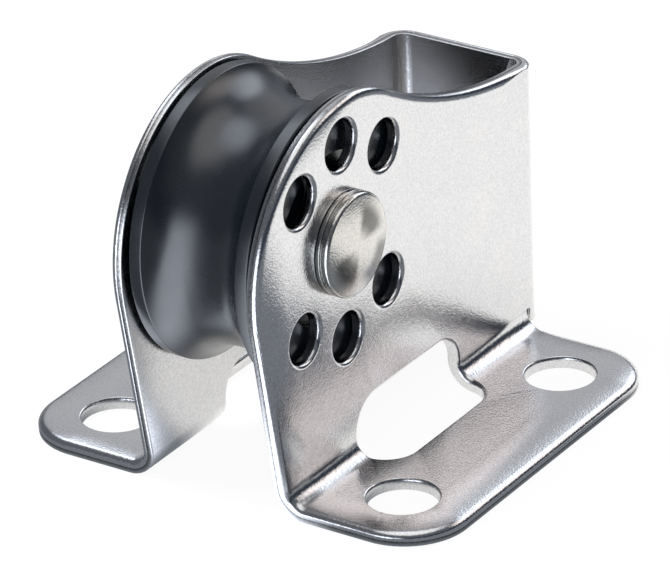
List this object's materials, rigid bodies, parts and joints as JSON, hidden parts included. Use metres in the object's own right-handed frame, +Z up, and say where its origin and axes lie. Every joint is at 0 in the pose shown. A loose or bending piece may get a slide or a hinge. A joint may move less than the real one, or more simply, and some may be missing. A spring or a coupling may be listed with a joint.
{
  "type": "stand-up block",
  "caption": "Small stand-up block: a folded stainless bracket with screw-down feet carries a wide grooved black sheave on ball bearings and a riveted axle.",
  "frame": {"origin": "middle of the base, on the surface that the feet are screwed to", "axes": "+X along the axle towards the near cheek, +Y towards the closed back web, +Z up from the mounting surface"},
  "size_m": [0.0362, 0.0376, 0.0292],
  "materials": {
    "polished_stainless": "tumble-polished stainless sheet, near mirror with a fine grain",
    "rivet_stainless": "polished stainless",
    "black_acetal": "black moulded acetal, soft sheen",
    "white_acetal": "natural white acetal"
  },
  "bodies": {
    "bracket": {"bracket": "polished_stainless", "rivet": "rivet_stainless", "rivet_washer_near": "rivet_stainless", "rivet_washer_far": "rivet_stainless", "bearing_hub": "black_acetal"},
    "sheave": {"sheave": "black_acetal", "bearing_retainer_near": "black_acetal", "bearing_retainer_far": "black_acetal"},
    "ball_train": {"ball_near_01": "white_acetal", "ball_near_02": "white_acetal", "ball_near_03": "white_acetal", "ball_near_04": "white_acetal", "ball_near_05": "white_acetal", "ball_near_06": "white_acetal", "ball_near_07": "white_acetal", "ball_near_08": "white_acetal", "ball_near_09": "white_acetal", "ball_near_10": "white_acetal", "ball_near_11": "white_acetal", "ball_near_12": "white_acetal", "ball_near_13": "white_acetal", "ball_near_14": "white_acetal", "ball_far_01": "white_acetal", "ball_far_02": "white_acetal", "ball_far_03": "white_acetal", "ball_far_04": "white_acetal", "ball_far_05": "white_acetal", "ball_far_06": "white_acetal", "ball_far_07": "white_acetal", "ball_far_08": "white_acetal", "ball_far_09": "white_acetal", "ball_far_10": "white_acetal", "ball_far_11": "white_acetal", "ball_far_12": "white_acetal", "ball_far_13": "white_acetal", "ball_far_14": "white_acetal"}
  },
  "joints": [
    {"name": "sheave_spin", "type": "hinge", "parent": "bracket", "child": "sheave", "pos_m": [0, -0.00772, 0.01832], "axis": [1, 0, 0], "continuous": true},
    {"name": "ball_train_spin", "type": "hinge", "parent": "bracket", "child": "ball_train", "pos_m": [0, -0.00772, 0.01832], "axis": [1, 0, 0], "continuous": true}
  ],
  "couplings": [
    {"joint": "ball_train_spin", "follows": "sheave_spin", "ratio": 0.6042}
  ]
}
